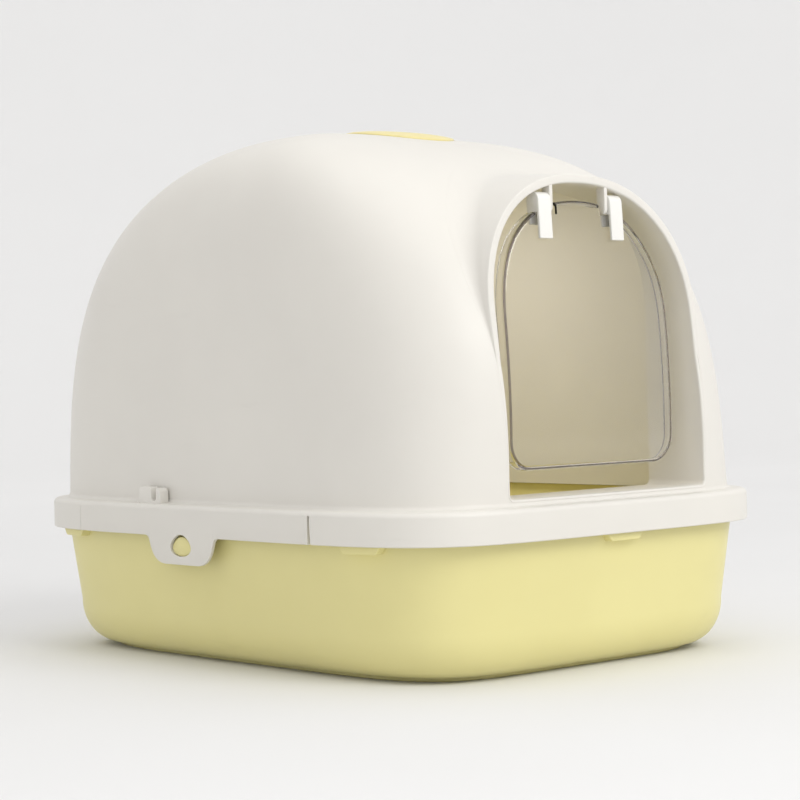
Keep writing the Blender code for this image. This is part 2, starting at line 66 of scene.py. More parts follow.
# ---- hood ----
HOOD_WALL = 0.0024
SKIRT_WALL = 0.0025
LEDGE_EDGE_RADIUS = 0.004
DOME_HALF_WIDTH = 0.1740
DOME_FRONT = 0.2390
DOME_BACK = 0.2355
DOME_CENTRE_Y = -0.015
DOME_DRAFT = 0.02
FRONT_SWELL = 0.05
FRONT_FOOT_POWER = 5.25
BACK_FOOT_POWER = 6.2
DOME_TOP_POWER = 3.4
DOME_LEVELS = 64
FOOT_FILLET = 0.0036
SHELL_FLOOR_Z = LEDGE_TOP - 0.0028
EDGE_ROUNDING = 0.0006
POST_OUTER_X = -HALF_WIDTH + 0.0040
POST_INNER_X = -HALF_WIDTH + 0.0120

# ---- tray ----
TRAY_WALL = 0.0026
TRAY_RIM_TOP = 0.1146
TRAY_FLOOR = 0.004
FOOT_HEIGHT = 0.003
FOOT_INSET = 0.043
BEND_TOP = 0.037
BEND_INSET = 0.0185
RIM_INSET = 0.0045
UPPER_INSET = 0.0080
SIDE_PAD_Y = 0.1725
SIDE_PAD_TURN = math.radians(10)

# ---- doorway and its collar ----
SILL_Z = 0.123
ARCH_HALF_WIDTH = 0.0985
ARCH_SPRING_Z = 0.245
ARCH_RISE = 0.095
ARCH_POWER = 2.27
ARCH_CORNER = 0.0035
FACE_Y = -0.2373
FACE_LEAN = 0.026
FACE_CURVE = 0.40
TUNNEL_BACK_Y = -0.182
LIP_RADIUS = 0.0015
BAND_WIDTH = 0.0062
COLLAR_FILLET = 0.013
BAND_FADE_START_Z = 0.150
BAND_FADE_HEIGHT = 0.115
BAND_LEAST_WIDTH = 0.0018
BAND_EDGE_RADIUS = 0.0010
COLLAR_OVERLAP = 0.0022

# ---- door, hung from two clips ----
PIVOT = Vector((0.0, -0.2085, 0.3225))
DOOR_LEAN = math.radians(3.2)
DOOR_BOW = 0.0040
DOOR_HALF_WIDTH = 0.0825
DOOR_BOTTOM = -0.1820
DOOR_SPRING = -0.0800
DOOR_RISE = 0.0855
DOOR_POWER = 2.27
DOOR_CORNER = 0.020
DOOR_FRONT = -0.0032
DOOR_RIM_DEPTH = 0.0090
PANEL_THICKNESS = 0.0020
CLIP_WIDTH = 0.0125
CLIP_CENTRE_X = 0.0362
CLIP_RADIUS = 0.0060
CLIP_GAP = 0.0072
CLIP_HEAD = 0.0045
CLIP_FRONT_LEG = 0.0225
CLIP_REAR_LEG = 0.0120
PIN_RADIUS = 0.0020
PIN_GAP = 0.0004
PIN_START_X = 0.0285
PIN_END_X = 0.0335
LUG_INNER_X = 0.0262
LUG_OUTER_X = 0.0294
LUG_RADIUS = 0.004
DOOR_EDGE_RADIUS = 0.0034
DOOR_RIM_ROUNDING = 0.0005
DOOR_INNER_RADIUS = 0.0016

# ---- side latches ----
LATCH_FRONT_Y = -0.1288
LATCH_BACK_Y = 0.1500
LATCH_TOP = 0.1140
BEND_BOTTOM = 0.1105
TAB_CENTRE_Y = 0.0162
TAB_HALF_FLAT = 0.0335
TAB_HALF_SIDE = 0.0405
TAB_HALF_FOOT = 0.047
TAB_BOTTOM = 0.0745
HOLE_CENTRE_Z = 0.0885
HOLE_HALF_LENGTH = 0.0123
HOLE_HALF_HEIGHT = 0.0080
SLIT_FOOT_WIDTH = 0.0034
SLIT_HEAD_RADIUS = 0.0012

# ---- filter on the top ----
COVER_RADIUS = 0.046
COVER_CENTRE_Y = -0.018
COVER_PROUD = 0.0014
RECESS_DEPTH = 0.0062
PAD_THICKNESS = 0.0040
COVER_BULGE = 0.0024
VENT_REACH = 0.036
VENT_PITCH = 0.0095
VENT_HALF_WIDTH = 0.0018

# ---- camera ----
CAMERA_AZIMUTH = math.radians(-41.532)
CAMERA_ELEVATION = 0.012797
CAMERA_ROLL = -0.02668
CAMERA_DISTANCE = 1.71164
CAMERA_LENS = 99.14
AIM_ACROSS = 0.0112
AIM_HEIGHT = 0.18875


# ---------------------------------------------------------------- node helpers

class Nodes:
    """A short way to add and join shader nodes in one material."""

    def __init__(self, name):
        self.material = bpy.data.materials.new(name)
        self.material.use_nodes = True
        self.tree = self.material.node_tree
        self.shader = self.tree.nodes["Principled BSDF"]
        self.place = self.add("ShaderNodeTexCoord").outputs["Object"]

    def add(self, kind, **settings):
        node = self.tree.nodes.new(kind)
        for name, value in settings.items():
            setattr(node, name, value)
        return node

    def join(self, value, socket):
        """Links an output, or sets a plain value."""
        if isinstance(value, bpy.types.NodeSocket):
            self.tree.links.new(value, socket)
        else:
            socket.default_value = value

    def noise(self, scale, detail=3.0, roughness=0.55, stretch=(1, 1, 1)):
        mapping = self.add("ShaderNodeMapping")
        mapping.inputs["Scale"].default_value = stretch
        self.join(self.place, mapping.inputs["Vector"])
        node = self.add("ShaderNodeTexNoise")
        node.inputs["Scale"].default_value = scale
        node.inputs["Detail"].default_value = detail
        node.inputs["Roughness"].default_value = roughness
        self.join(mapping.outputs["Vector"], node.inputs["Vector"])
        return node.outputs["Fac"]

    def spread(self, value, low, high, to_low=0.0, to_high=1.0):
        node = self.add("ShaderNodeMapRange", interpolation_type="SMOOTHSTEP")
        self.join(value, node.inputs["Value"])
        for name, number in zip(("From Min", "From Max", "To Min", "To Max"),
                                (low, high, to_low, to_high)):
            node.inputs[name].default_value = number
        return node.outputs["Result"]

    def mix(self, share, first, second):
        node = self.add("ShaderNodeMix", data_type="RGBA")
        self.join(share, node.inputs["Factor"])
        for value, socket in ((first, node.inputs[6]), (second, node.inputs[7])):
            self.join((*value, 1.0) if isinstance(value, tuple) else value, socket)
        return node.outputs[2]

    def maths(self, operation, first, second):
        node = self.add("ShaderNodeMath", operation=operation)
        self.join(first, node.inputs[0])
        self.join(second, node.inputs[1])
        return node.outputs[0]

    def bump(self, height, strength, distance, below=None):
        node = self.add("ShaderNodeBump")
        node.inputs["Strength"].default_value = strength
        node.inputs["Distance"].default_value = distance
        self.join(height, node.inputs["Height"])
        if below is not None:
            self.join(below, node.inputs["Normal"])
        return node.outputs["Normal"]


def moulded(name, colour, shade, roughness, grain=0.10, wear=0.5):
    """Satin moulded plastic: soft mottling, fine grain, faint rubbed streaks and worn edges."""
    n = Nodes(name)
    cloudy = n.spread(n.noise(7.0, 3.0), 0.3, 0.7)
    body = n.mix(cloudy, shade, colour)
    streaks = n.spread(n.noise(34.0, 6.0, 0.7, (1.0, 0.35, 3.0)), 0.60, 0.78, 0.0, wear)
    dull = tuple(0.90 * c for c in shade)
    body = n.mix(n.maths("MULTIPLY", streaks, 0.35), body, dull)
    edge = n.add("ShaderNodeNewGeometry").outputs["Pointiness"]
    rubbed = n.spread(edge, 0.53, 0.62, 0.0, 0.45 * wear)
    pale = tuple(min(1.0, c * 1.05 + 0.02) for c in colour)
    body = n.mix(rubbed, body, pale)
    n.join(body, n.shader.inputs["Base Color"])
    gloss = n.spread(n.noise(16.0, 4.0), 0.3, 0.7, roughness - 0.05, roughness + 0.05)
    gloss = n.maths("ADD", gloss, n.maths("MULTIPLY", streaks, 0.10))
    n.join(gloss, n.shader.inputs["Roughness"])
    grainy = n.bump(n.noise(1500.0, 2.0, 0.6), grain, 0.0004)
    wavy = n.bump(n.noise(11.0, 2.0, 0.4), 0.06, 0.004, grainy)
    n.join(wavy, n.shader.inputs["Normal"])
    n.shader.inputs["Specular IOR Level"].default_value = 0.42
    n.shader.inputs["Metallic"].default_value = 0.0
    return n.material


def clear_plastic(name, tint, clearer):
    """Clear styrene: a faint smoky tint, light wiping marks and fine scratches."""
    n = Nodes(name)
    haze = n.spread(n.noise(9.0, 4.0), 0.35, 0.7)
    n.join(n.mix(haze, tint, clearer), n.shader.inputs["Base Color"])
    wiped = n.spread(n.noise(26.0, 6.0, 0.7, (3.0, 1.0, 0.4)), 0.5, 0.8, 0.01, 0.05)
    n.join(wiped, n.shader.inputs["Roughness"])
    n.join(n.bump(n.noise(30.0, 2.0), 0.012, 0.0006), n.shader.inputs["Normal"])
    n.shader.inputs["Transmission Weight"].default_value = 1.0
    n.shader.inputs["IOR"].default_value = 1.45
    return n.material


def foam():
    """The charcoal pad's open foam."""
    n = Nodes("Charcoal Foam")
    pores = n.noise(420.0, 4.0, 0.7)
    speck = n.spread(pores, 0.4, 0.65)
    n.join(n.mix(speck, (0.015, 0.015, 0.017), (0.07, 0.07, 0.075)), n.shader.inputs["Base Color"])
    n.join(n.spread(pores, 0.3, 0.7, 0.85, 1.0), n.shader.inputs["Roughness"])
    n.join(n.bump(pores, 0.6, 0.001), n.shader.inputs["Normal"])
    return n.material


def studio_floor():
    n = Nodes("Studio Floor")
    away = n.add("ShaderNodeVectorMath", operation="LENGTH")
    n.join(n.place, away.inputs[0])
    soft = n.spread(n.noise(1.5, 3.0), 0.3, 0.7, -0.04, 0.04)
    # painted shade: the floor's colour darkens towards the middle round the box and pales out towards
    # the wall
    soft = n.maths("ADD", n.spread(away.outputs["Value"], 0.3, 3.2), soft)
    n.join(n.mix(soft, (0.79, 0.79, 0.79), (0.93, 0.93, 0.93)), n.shader.inputs["Base Color"])
    n.join(n.spread(n.noise(5.0), 0.3, 0.7, 0.75, 0.9), n.shader.inputs["Roughness"])
    return n.material


def all_materials():
    return {
        "hood": moulded("Hood Plastic", (0.765, 0.742, 0.690), (0.74, 0.717, 0.667), 0.40),
        "tray": moulded("Tray Plastic", (0.81, 0.745, 0.350), (0.78, 0.715, 0.33), 0.38),
        "latch": moulded("Latch Plastic", (0.765, 0.742, 0.690), (0.74, 0.717, 0.667), 0.40),
        "clip": moulded("Clip Plastic", (0.86, 0.85, 0.81), (0.82, 0.81, 0.77), 0.32),
        "cover": moulded("Cover Plastic", (0.82, 0.72, 0.34), (0.78, 0.68, 0.31), 0.38),
        "door": clear_plastic("Clear Door Plastic", (0.97, 0.97, 0.97), (0.99, 0.99, 0.985)),
        # painted shade: a dark tinted clear plastic for the door's edge strips, in place of the dark
        # lines refraction makes there
        "painted door edge shade": clear_plastic("Clear Door Painted Edge Shade", (0.16, 0.14, 0.19), (0.24, 0.22, 0.27)),
        "pad": foam(),
    }


# ---------------------------------------------------------------- mesh helpers

def mesh_object(name, builder, material, sharp=35):
    bmesh.ops.recalc_face_normals(builder, faces=builder.faces)
    mesh = bpy.data.meshes.new(name)
    builder.to_mesh(mesh)
    builder.free()
    mesh.shade_smooth()
    mesh.set_sharp_from_angle(angle=math.radians(sharp))
    if material:
        mesh.materials.append(material)
    thing = bpy.data.objects.new(name, mesh)
    bpy.context.scene.collection.objects.link(thing)
    return thing


def stitch(builder, rings, wrap=False):
    """Joins rings of points, each to the next, and returns their vertices."""
    levels = [[builder.verts.new(Vector(point)) for point in ring] for ring in rings]
    pairs = list(zip(levels, levels[1:]))
    if wrap:
        pairs.append((levels[-1], levels[0]))
    for lower, upper in pairs:
        for i in range(len(lower)):
            j = (i + 1) % len(lower)
            builder.faces.new((lower[i], lower[j], upper[j], upper[i]))
    return levels


def loft(rings):
    """A closed solid through rings with equal numbers of points, flat at both ends."""
    builder = bmesh.new()
    levels = stitch(builder, rings)
    builder.faces.new(list(reversed(levels[0])))
    builder.faces.new(levels[-1])
    return builder


def mirrored_loft(rings):
    """A closed solid through rings that mirror themselves in X and needn't be flat."""
    builder = bmesh.new()
    levels = stitch(builder, rings)
    for ring in (levels[0], levels[-1]):
        count = len(ring)
        for i in range(count // 2):
            corners = [ring[i], ring[i + 1], ring[count - 2 - i], ring[count - 1 - i]]
            corners = list(dict.fromkeys(corners))
            if len(corners) > 2:
                builder.faces.new(corners)
    return builder


def apply_modifiers(thing, sharp=35):
    """Bakes an object's modifiers into its mesh."""
    graph = bpy.context.evaluated_depsgraph_get()
    mesh = bpy.data.meshes.new_from_object(thing.evaluated_get(graph))
    thing.modifiers.clear()
    thing.data = mesh
    mesh.shade_smooth()
    mesh.set_sharp_from_angle(angle=math.radians(sharp))


def carve(target, cutters, operation="DIFFERENCE", sharp=35):
    """Cuts each shape out of target, or adds it, one after the other."""
    for i, builder in enumerate(cutters):
        tool = mesh_object("Tool", builder, None)
        modifier = target.modifiers.new("Cut", "BOOLEAN")
        modifier.operation = operation
        modifier.solver = "EXACT"
        modifier.object = tool
        apply_modifiers(target, sharp)
        bpy.data.objects.remove(tool)


def soften(thing, width, segments=3, angle=30):
    """Rounds every hard edge."""
    modifier = thing.modifiers.new("Soften", "BEVEL")
    modifier.width = width
    modifier.segments = segments
    modifier.limit_method = "ANGLE"
    modifier.angle_limit = math.radians(angle)
    modifier.harden_normals = False
    apply_modifiers(thing, 50)


def bar_along_x(outline, x0, x1):
    """A prism along X of an outline given as (y, z)."""
    return loft([[(x, y, z) for y, z in outline] for x in (x0, x1)])


def rounded(corners, steps=5):
    """An outline from corners given as (a, b, radius)."""
    points = []
    count = len(corners)
    for i, (a, b, radius) in enumerate(corners):
        here = Vector((a, b))
        before = Vector(corners[i - 1][:2])
        after = Vector(corners[(i + 1) % count][:2])
        if radius <= 0:
            points.append((a, b))
            continue
        start = here + (before - here).normalized() * radius
        end = here + (after - here).normalized() * radius
        for k in range(steps + 1):
            t = k / steps
            p = start * (1 - t) ** 2 + here * 2 * t * (1 - t) + end * t ** 2
            points.append((p.x, p.y))
    return points


def disc_points(a, b, radius, count):
    turns = [2 * math.pi * (i + 0.5) / count for i in range(count)]
    return [(a + radius * math.cos(t), b + radius * math.sin(t)) for t in turns]


# ---------------------------------------------------------------- outlines

def evenly(x, y, count):
    """The closed outline x, y with its points spaced evenly along it."""
    x = np.append(x, x[0])
    y = np.append(y, y[0])
    along = np.concatenate([[0], np.cumsum(np.hypot(np.diff(x), np.diff(y)))])
    marks = along[-1] * np.arange(count) / count
    return np.interp(marks, along, x), np.interp(marks, along, y)


def soft_rectangle(half_x, front, back, power, z, centre_y=0.0, front_power=None):
    """A level ring of the box, starting at the middle of its front."""
    turn = np.linspace(-math.pi / 2, 1.5 * math.pi, 1441)[:-1]
    c = np.cos(turn)
    s = np.sin(turn)
    here = np.where(s < 0, front_power or power, power)
    x = np.sign(c) * half_x * np.abs(c) ** (2 / here)
    y = np.sign(s) * np.where(s < 0, front, back) * np.abs(s) ** (2 / here)
    x, y = evenly(x, y, RING_POINTS)
    return np.column_stack([x, centre_y + y, np.full(RING_POINTS, z)])


def box_ring(inset, z, power=SKIRT_POWER):
    return soft_rectangle(HALF_WIDTH - inset, HALF_LENGTH - inset, HALF_LENGTH - inset, power, z)


def skirt_x(y):
    """How far out the skirt's outer face is, at a place along its side."""
    return HALF_WIDTH * (1 - abs(y / HALF_LENGTH) ** SKIRT_POWER) ** (1 / SKIRT_POWER)


def dome_section(height_share, inset=0.0):
    """Half width, reaches to front and back, and powers of the dome's outline at a height."""
    t = height_share
    rise = (DOME_TOP - inset - LEDGE_TOP) * t
    half_x = (DOME_HALF_WIDTH - inset - DOME_DRAFT * rise) * (1 - t ** 8) ** 0.25
    front_foot = DOME_FRONT + DOME_CENTRE_Y - inset
    front = (front_foot + FRONT_SWELL * rise) * (1 - t ** 2.9) ** 0.59
    back_foot = DOME_BACK - DOME_CENTRE_Y - inset
    back = (back_foot - DOME_DRAFT * rise) * (1 - t ** 3.2) ** 0.57
    front_power = FRONT_FOOT_POWER + (DOME_TOP_POWER - FRONT_FOOT_POWER) * t ** 0.7
    back_power = BACK_FOOT_POWER + (DOME_TOP_POWER - BACK_FOOT_POWER) * t ** 2.5
    return half_x, front, back, front_power, back_power


def dome_ring(height_share, inset=0.0, outward=0.0):
    """A level ring of the dome; outward widens it without changing its height."""
    half_x, front, back, front_power, back_power = dome_section(height_share, inset)
    z = LEDGE_TOP + (DOME_TOP - inset - LEDGE_TOP) * height_share
    return soft_rectangle(half_x + outward, front + outward, back + outward, back_power, z,
                          DOME_CENTRE_Y, front_power)


def dome_levels(count):
    return [1 - (1 - i / count) ** 2.1 for i in range(count)] + [0.99996]


def dome_height(x, y):
    """Height of the dome's outer surface above a point near its top."""
    low, high = 0.3, 1.0
    for _ in range(40):
        t = (low + high) / 2
        half_x, front, back, front_power, back_power = dome_section(t)
        away = y - DOME_CENTRE_Y
        reach = front if away < 0 else back
        power = front_power if away < 0 else back_power
        if abs(x / half_x) ** power + abs(away / reach) ** power < 1:
            low = t
        else:
            high = t
    return LEDGE_TOP + (DOME_TOP - LEDGE_TOP) * low


def dome_front_y(x, z):
    """Where the dome's front surface is, at a place across and up."""
    t = min(max((z - LEDGE_TOP) / (DOME_TOP - LEDGE_TOP), 0.0), 0.9999)
    half_x, front, _, power, _ = dome_section(t)
    share = min(abs(x) / half_x, 0.9999)
    return DOME_CENTRE_Y - front * (1 - share ** power) ** (1 / power)


def face_y(z):
    """The leaning front face of the doorway."""
    up = z - SILL_Z
    return FACE_Y + FACE_LEAN * up + FACE_CURVE * up ** 2


def arch(half, rise, spring, power, steps):
    """Points of a tall arch from its right springing over to its left one."""
    points = []
    for i in range(2 * steps + 1):
        angle = math.pi * i / (2 * steps)
        c = math.cos(angle)
        s = math.sin(angle)
        radius = (abs(c / half) ** power + abs(s / rise) ** power) ** (-1 / power)
        points.append((radius * c, spring + radius * s))
    return points


def doorway_outline(grow=0.0, steps=44):
    """The doorway as (x, z), from the middle of its sill round by the right."""
    half = ARCH_HALF_WIDTH + grow
    corner = ARCH_CORNER + grow
    floor = SILL_Z - grow
    right = [((half - corner) * i / 14, floor) for i in range(14)]
    for i in range(9):
        angle = math.radians(-90 + 90 * i / 8)
        across = half - corner + corner * math.cos(angle)
        right.append((across, floor + corner + corner * math.sin(angle)))
    low = floor + corner
    right += [(half, low + (ARCH_SPRING_Z - low) * i / 20) for i in range(1, 20)]
    over = arch(half, ARCH_RISE + grow, ARCH_SPRING_Z, ARCH_POWER, steps)
    return right + over + [(-x, z) for x, z in reversed(right[1:])]


# ---------------------------------------------------------------- hood

def hood_shell(materials):
    """The hood's thin wall: down inside it, round the skirt's foot and up over the outside."""
    rings = []
    levels = dome_levels(DOME_LEVELS)
    for t in reversed(levels[1:]):
        rings.append(dome_ring(t, HOOD_WALL))
    inner_foot = dome_ring(0.0, HOOD_WALL)
    inner_foot[:, 2] = SHELL_FLOOR_Z
    rings += [inner_foot, box_ring(SKIRT_WALL, SHELL_FLOOR_Z), box_ring(SKIRT_WALL, SKIRT_BOTTOM)]
    rings.append(box_ring(EDGE_ROUNDING, SKIRT_BOTTOM))
    rings.append(box_ring(0.0, SKIRT_BOTTOM + EDGE_ROUNDING))
    radius = LEDGE_EDGE_RADIUS
    for i in range(13):
        angle = math.pi / 2 * i / 12
        z = LEDGE_TOP - radius + radius * math.sin(angle)
        rings.append(box_ring(radius - radius * math.cos(angle), z))
    rise = DOME_TOP - LEDGE_TOP
    for i in range(9):
        angle = math.pi / 2 * i / 8
        up = FOOT_FILLET * (1 - math.cos(angle))
        outward = FOOT_FILLET * (1 - math.sin(angle))
        rings.append(dome_ring(max(up, 0.0004) / rise, 0.0, outward))
    rings += [dome_ring(t) for t in levels if rise * t > FOOT_FILLET + 0.001]
    shell = mesh_object("hood_shell", loft(rings), materials["hood"])
    doorway = [[(x, y, z) for x, z in doorway_outline(COLLAR_OVERLAP, 30)] for y in (-0.30, -0.150)]
    carve(shell, [loft(doorway)])
    dish = top_disc(COVER_RADIUS + 0.004, -RECESS_DEPTH - 0.003, -0.001)
    carve(shell, [dish], "UNION")
    carve(shell, [top_disc(COVER_RADIUS + 0.0008, -RECESS_DEPTH, 0.012)] + vent_slots())
    carve(shell, [latch_opening(side) for side in (-1, 1)])
    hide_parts("hood")
    return shell


def top_disc(radius, low, high, bulge=0.0, rings=8, sides=96, edge=0.0):
    """A round disc that follows the dome, its upper edge rounded by edge."""
    circles = []
    shares = [i / rings for i in range(1, rings)]
    reaches = [radius * share for share in shares if radius * share < radius - edge - 0.0005]
    for reach in reaches:
        circles.append((reach, low, 0.0))
    circles.append((radius, low, 0.0))
    for i in range(6 if edge else 1):
        angle = math.pi / 2 * i / 5
        reach = radius - edge + edge * math.cos(angle)
        circles.append((reach, high - edge + edge * math.sin(angle), 0.0))
    for reach in reversed(reaches):
        circles.append((reach, high, bulge * (1 - (reach / radius) ** 3)))
    loops = []
    for reach, level, lift in circles:
        loop = []
        for i in range(sides):
            angle = 2 * math.pi * i / sides
            x = reach * math.cos(angle)
            y = COVER_CENTRE_Y + reach * math.sin(angle)
            loop.append((x, y, dome_height(x, y) + level + lift))
        loops.append(loop)
    return loft(loops)


def vent_slots():
    """Parallel slots with round ends, under the filter pad."""
    slots = []
    radius = VENT_HALF_WIDTH - 0.0001
    for i in range(-3, 4):
        left = VENT_PITCH * i - VENT_HALF_WIDTH
        right = VENT_PITCH * i + VENT_HALF_WIDTH
        half = math.sqrt(VENT_REACH ** 2 - (VENT_PITCH * i) ** 2)
        front = COVER_CENTRE_Y - half
        back = COVER_CENTRE_Y + half
        outline = rounded([(left, front, radius), (right, front, radius),
                           (right, back, radius), (left, back, radius)])
        heights = (DOME_TOP - 0.04, DOME_TOP + 0.01)
        slots.append(loft([[(a, b, z) for a, b in outline] for z in heights]))
    return slots


def latch_opening(side):
    """Where a latch takes the skirt's place, with the tapering slit in front of it."""
    front = LATCH_FRONT_Y
    back = LATCH_BACK_Y + FIT_GAP
    radius = SLIT_HEAD_RADIUS
    below = SKIRT_BOTTOM - 0.01
    outline = [(front - SLIT_FOOT_WIDTH, below), (back, below), (back, LATCH_TOP), (front, LATCH_TOP)]
    for i in range(7):
        angle = math.radians(20 + 140 * i / 6)
        y = front - radius + radius * math.cos(angle)
        outline.append((y, LATCH_TOP - 0.0004 + 0.0013 * math.sin(angle)))
    outline.append((front - 0.0021, LATCH_TOP - 0.004))
    ends = sorted((side * (HALF_WIDTH - 0.0085), side * (HALF_WIDTH + 0.01)))
    return bar_along_x(outline, *ends)


def collar_profile(x, z, nx, nz):
    """The collar's section at one place of the doorway's edge, as (outward, y) pairs."""
    high = min(max((z - BAND_FADE_START_Z) / BAND_FADE_HEIGHT, 0.0), 1.0)
    width = BAND_LEAST_WIDTH + (BAND_WIDTH - BAND_LEAST_WIDTH) * high * high * (3 - 2 * high)

    def dome_y(out):
        return dome_front_y(x + nx * out, z + nz * out)

    front = min(face_y(z), dome_y(width) - 0.00015)
    end = max(TUNNEL_BACK_Y, dome_y(0.0) + 0.005)
    lip = LIP_RADIUS
    profile = [(0.0012, end), (0.0008, 0.5 * (end + front)), (0.0, front + lip + 0.002)]
    for i in range(7):
        angle = math.pi / 2 * i / 6
        profile.append((lip - lip * math.cos(angle), front + lip - lip * math.sin(angle)))
    corner = min(BAND_EDGE_RADIUS, 0.4 * (width - lip) + 0.00005)
    depth = dome_y(width) - front
    corner = min(corner, 0.45 * depth)
    for i in range(5):
        angle = math.pi / 2 * i / 4
        out = width - corner + corner * math.sin(angle)
        profile.append((out, front + corner - corner * math.cos(angle)))
    draft = 0.06 * depth
    fillet = min(COLLAR_FILLET, 0.55 * depth) + 0.00008
    foot = width + draft
    for share in (0.25, 0.5, 0.75):
        profile.append((width + draft * share, front + corner + (depth - corner - fillet) * share))
    start = Vector((foot, dome_y(foot) - fillet))
    bend = Vector((foot, dome_y(foot)))
    end_out = foot + max(fillet, 0.0010)
    finish = Vector((end_out, dome_y(end_out) - 0.00006))
    for i in range(11):
        t = i / 10
        p = start * (1 - t) ** 2 + bend * 2 * t * (1 - t) + finish * t ** 2
        profile.append((p.x, p.y))
    outer = end_out + 0.0012
    profile.append((outer, dome_y(outer) + 0.0003))
    profile.append((outer, dome_y(outer) + 0.0014))
    profile.append((foot, dome_y(foot) + 0.0016))
    wall = 0.0026
    behind = dome_y(wall) + 0.0018
    profile.append((wall, max(end - 0.0008, behind)))
    profile.append((wall, end + 0.0004 if end > behind else behind + 0.0004))
    return profile


def doorway_collar(materials):
    """The leaning frame of the doorway, one closed loop of sections round its edge."""
    outline = np.array(doorway_outline())
    ahead = np.roll(outline, -1, axis=0)
    behind = np.roll(outline, 1, axis=0)
    along = ahead - behind
    along /= np.linalg.norm(along, axis=1)[:, None]
    rings = []
    for (x, z), (tx, tz) in zip(outline, along):
        nx, nz = tz, -tx
        rings.append([(x + nx * out, y, z + nz * out) for out, y in collar_profile(x, z, nx, nz)])
    builder = bmesh.new()
    stitch(builder, rings, wrap=True)
    return mesh_object("doorway_collar", builder, materials["hood"], 40)


def door_bearing(name, side, materials):
    """A lug under the tunnel's roof, with the pin that one clip turns on."""
    top = PIVOT.z + 0.0180
    outline = [(PIVOT.y + LUG_RADIUS, top), (PIVOT.y - LUG_RADIUS, top)]
    for i in range(13):
        angle = math.pi + math.pi * i / 12
        y = PIVOT.y + LUG_RADIUS * math.cos(angle)
        outline.append((y, PIVOT.z + LUG_RADIUS * math.sin(angle)))
    ends = sorted((side * LUG_INNER_X, side * LUG_OUTER_X))
    lug = mesh_object(name, bar_along_x(outline, *ends), materials["hood"])
    ends = sorted((side * PIN_START_X, side * PIN_END_X))
    carve(lug, [bar_along_x(disc_points(PIVOT.y, PIVOT.z, PIN_RADIUS, 28), *ends)], "UNION")
    soften(lug, 0.0005)
    return lug


def scoop_holder(materials):
    """Two posts on the left ledge, with a slot between them for a scoop's handle."""
    low = LEDGE_TOP - 0.0012
    outline = rounded([
        (0.0458, low, 0), (0.0736, low, 0), (0.0730, 0.1302, 0.0030), (0.0577, 0.1302, 0.0024),
        (0.0574, 0.1200, 0.0026), (0.0514, 0.1200, 0.0026), (0.0510, 0.1300, 0.0012),
        (0.0464, 0.1288, 0.0024),
    ])
    solid = bar_along_x(outline, POST_OUTER_X, POST_INNER_X)
    posts = mesh_object("scoop_holder", solid, materials["hood"])
    soften(posts, 0.0008)
    return posts


# ---------------------------------------------------------------- latches

def tab_outline():
    """The lower edge of a latch round its tab, from front to back, as (y, z)."""
    half = rounded([
        (0.0, TAB_BOTTOM, 0), (TAB_HALF_FLAT, TAB_BOTTOM, 0.0145),
        (TAB_HALF_SIDE, SKIRT_BOTTOM, 0.0045), (TAB_HALF_FOOT, SKIRT_BOTTOM, 0),
    ], 14)
    front = [(TAB_CENTRE_Y - a, z) for a, z in reversed(half)]
    return np.array(front + [(TAB_CENTRE_Y + a, z) for a, z in half[1:]])


def tab_bottom(y):
    outline = tab_outline()
    return float(np.interp(y, outline[:, 0], outline[:, 1]))


def egg(half_length, half_height, count=48):
    """An egg outline for the latch hole, its narrower end up."""
    outline = []
    for i in range(count):
        angle = 2 * math.pi * i / count
        s = math.sin(angle)
        outline.append((half_length * math.cos(angle) * (1 - 0.22 * s), half_height * s))
    return outline


def latch_flap(name, side, materials):
    """A length of skirt made as its own piece, with the tab and its egg-shaped hole."""
    tab_front = TAB_CENTRE_Y - TAB_HALF_FOOT
    tab_back = TAB_CENTRE_Y + TAB_HALF_FOOT
    stations = list(np.linspace(LATCH_FRONT_Y, tab_front, 26)[:-1])
    stations += list(np.linspace(tab_front, tab_back, 141))
    stations += list(np.linspace(tab_back, LATCH_BACK_Y, 26)[1:])
    upper = [BEND_BOTTOM - 0.004, BEND_BOTTOM, BEND_BOTTOM + 0.0009, BEND_BOTTOM + 0.0018,
             BEND_BOTTOM + 0.0027, LATCH_TOP - 0.00003]
    rings = []
    for y in stations:
        out = skirt_x(y)
        foot = tab_bottom(y)
        section = [(out - SKIRT_WALL + 0.0003, foot), (out - 0.0008, foot),
                   (out - 0.0002, foot + 0.0002), (out, foot + 0.0008)]
        section += [(out, z) for z in upper]
        section += [(out - SKIRT_WALL, z) for z in reversed(upper)]
        section.append((out - SKIRT_WALL, foot + 0.0004))
        rings.append([(side * x, y, z) for x, z in section])
    flap = mesh_object(name, loft(rings), materials["latch"])
    reaches = sorted((side * (HALF_WIDTH - 0.010), side * (HALF_WIDTH + 0.010)))
    outline = egg(HOLE_HALF_LENGTH, HOLE_HALF_HEIGHT)
    hole = [(TAB_CENTRE_Y + a, HOLE_CENTRE_Z + b) for a, b in outline]
    carve(flap, [bar_along_x(hole, *reaches)])
    body = "latch_left" if side < 0 else "latch_right"
    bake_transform(flap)
    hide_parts(body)
    return flap


# ---------------------------------------------------------------- tray

def bend_inset(z):
    """Inset of the tray's outer face where the wall turns in to the base."""
    drop = (BEND_TOP - z) / (BEND_TOP - FOOT_HEIGHT)
    return BEND_INSET + (FOOT_INSET - 0.002 - BEND_INSET) * (1 - math.sqrt(1 - drop ** 2))


def tray_power(z):
    """The corners get a little squarer towards the base."""
    return FOOT_POWER + (SKIRT_POWER - FOOT_POWER) * min(1.0, z / SKIRT_BOTTOM)


